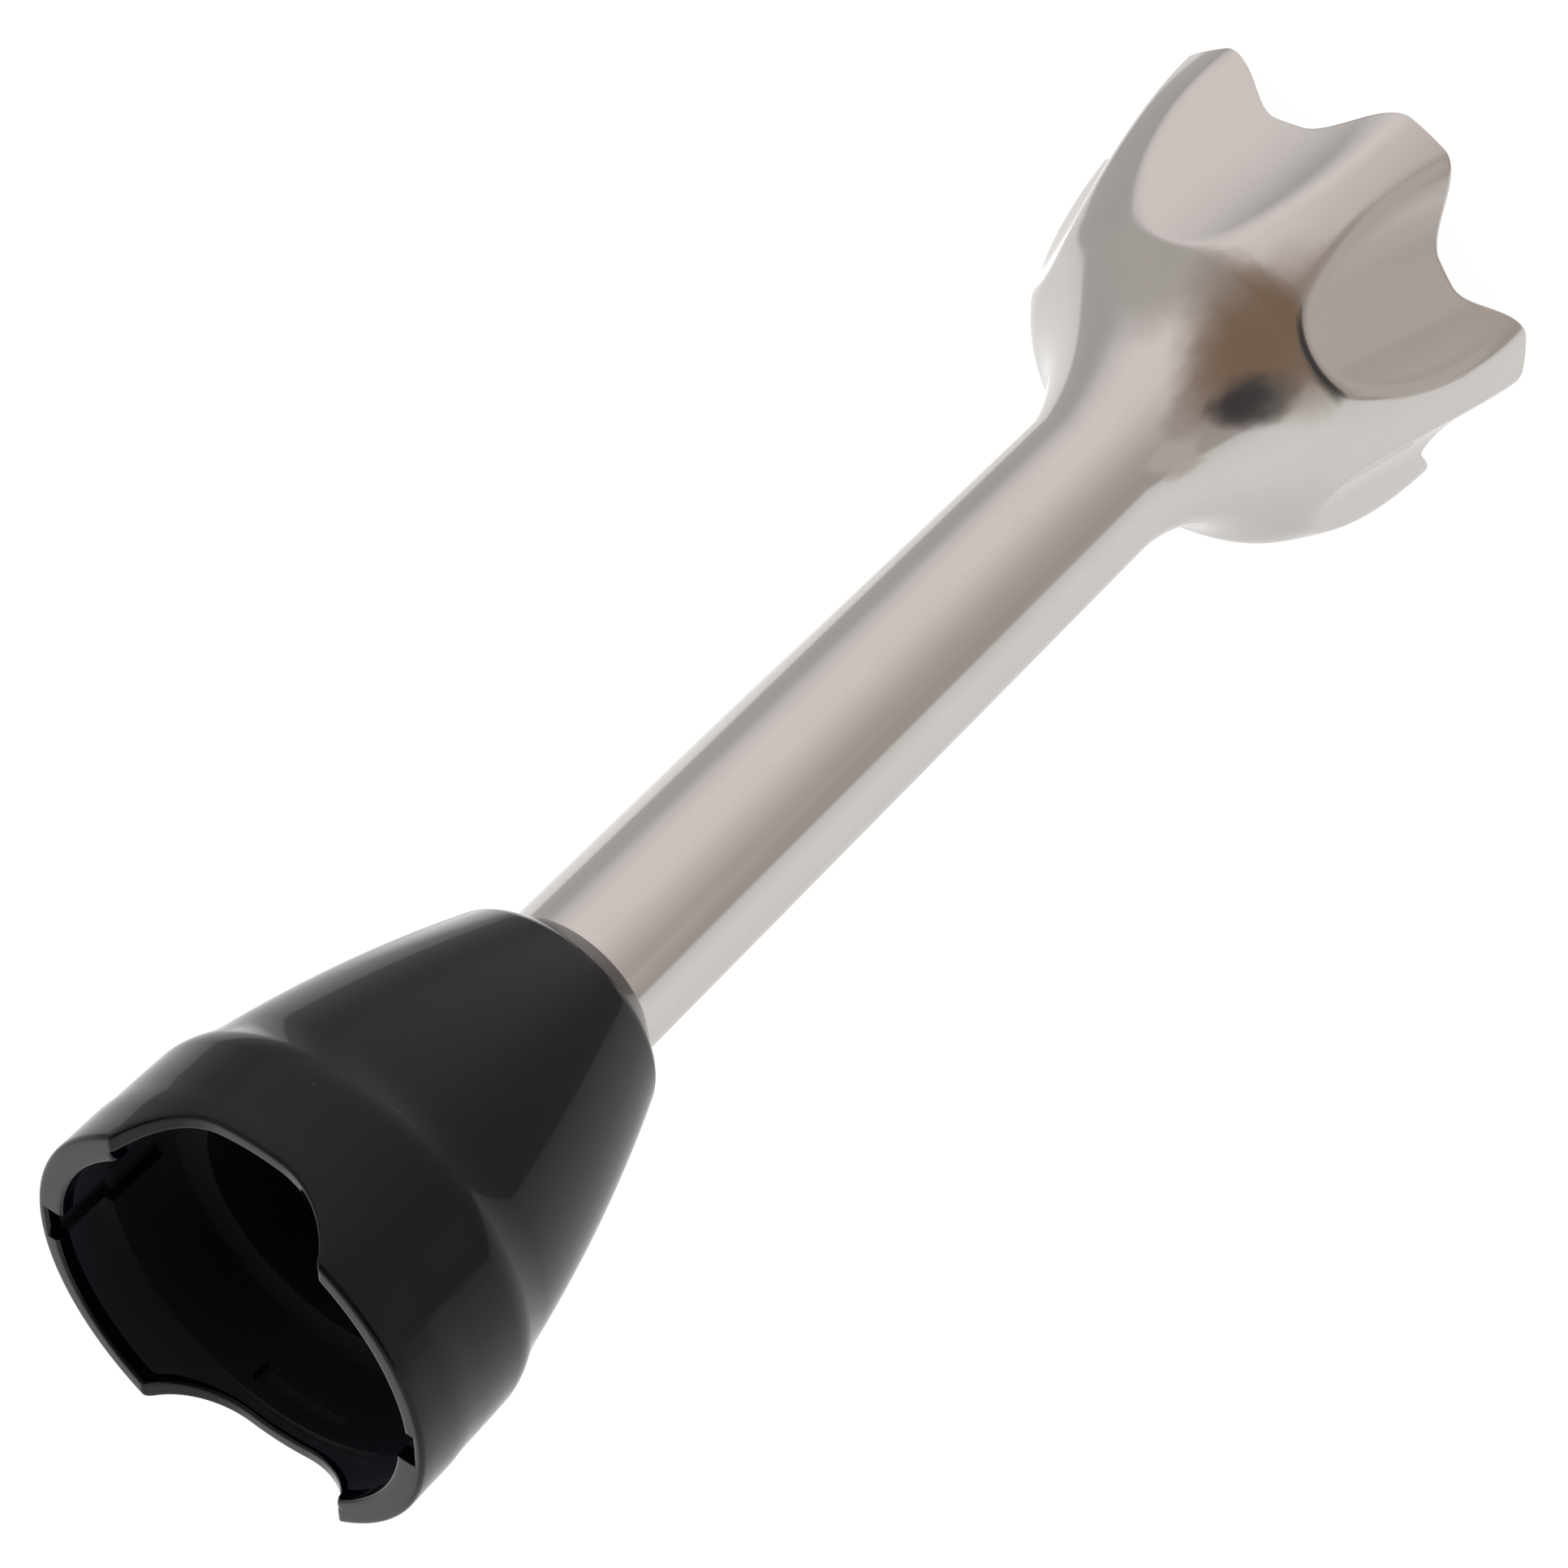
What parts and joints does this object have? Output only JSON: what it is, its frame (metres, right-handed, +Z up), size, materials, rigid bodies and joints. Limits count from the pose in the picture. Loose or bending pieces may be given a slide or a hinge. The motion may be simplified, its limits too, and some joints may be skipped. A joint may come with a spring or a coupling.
{
  "type": "immersion blender leg",
  "caption": "Detachable blending leg for an immersion blender: black coupling collar, polished steel tube and a scalloped bell guard round a driven blade.",
  "frame": {"origin": "centre of the bounding box's bottom: the point on the drive axis in the plane of the bell's feet", "axes": "+Z up the drive axis from the bell to the coupling mouth; -Y is the front, towards one button cut-out; +X runs through a keyway"},
  "size_m": [0.0644, 0.0604, 0.214],
  "materials": {
    "gloss_abs": "deep-gloss injection-moulded black ABS",
    "black_nylon": "fine-textured black nylon",
    "coupler_nylon": "satin black glass-filled nylon",
    "polished_steel": "mirror-polished stainless steel",
    "blade_steel": "ground and polished stainless steel",
    "machined_steel": "turned stainless steel",
    "screw_steel": "zinc-plated steel",
    "white_acetal": "natural white acetal",
    "bronze": "oil-filled sintered bronze",
    "seal_rubber": "moulded nitrile rubber"
  },
  "bodies": {
    "leg": {"coupling_sleeve": "gloss_abs", "latch_ring": "black_nylon", "socket_cup": "black_nylon", "socket_screws": "screw_steel", "tube_gasket": "seal_rubber", "tube_flange": "machined_steel", "steel_tube": "polished_steel", "bell_guard": "polished_steel", "upper_bearing_holder": "white_acetal", "upper_bush": "bronze", "thrust_washer": "white_acetal", "bearing_tube": "white_acetal", "lower_bearing_housing": "black_nylon", "housing_o_ring": "seal_rubber", "lower_bush": "bronze", "shaft_seal": "seal_rubber", "seal_spring": "machined_steel", "seal_retainer": "machined_steel"},
    "drive_line": {"drive_shaft": "machined_steel", "drive_coupler": "coupler_nylon", "coupler_pin": "machined_steel", "shaft_clip": "machined_steel", "blade_hub": "machined_steel", "blade": "blade_steel", "blade_washer": "machined_steel", "blade_nut": "machined_steel"}
  },
  "joints": [
    {"name": "blade_spin", "type": "hinge", "parent": "leg", "child": "drive_line", "pos_m": [0, 0, 0.1], "axis": [0, 0, 1], "continuous": true}
  ]
}
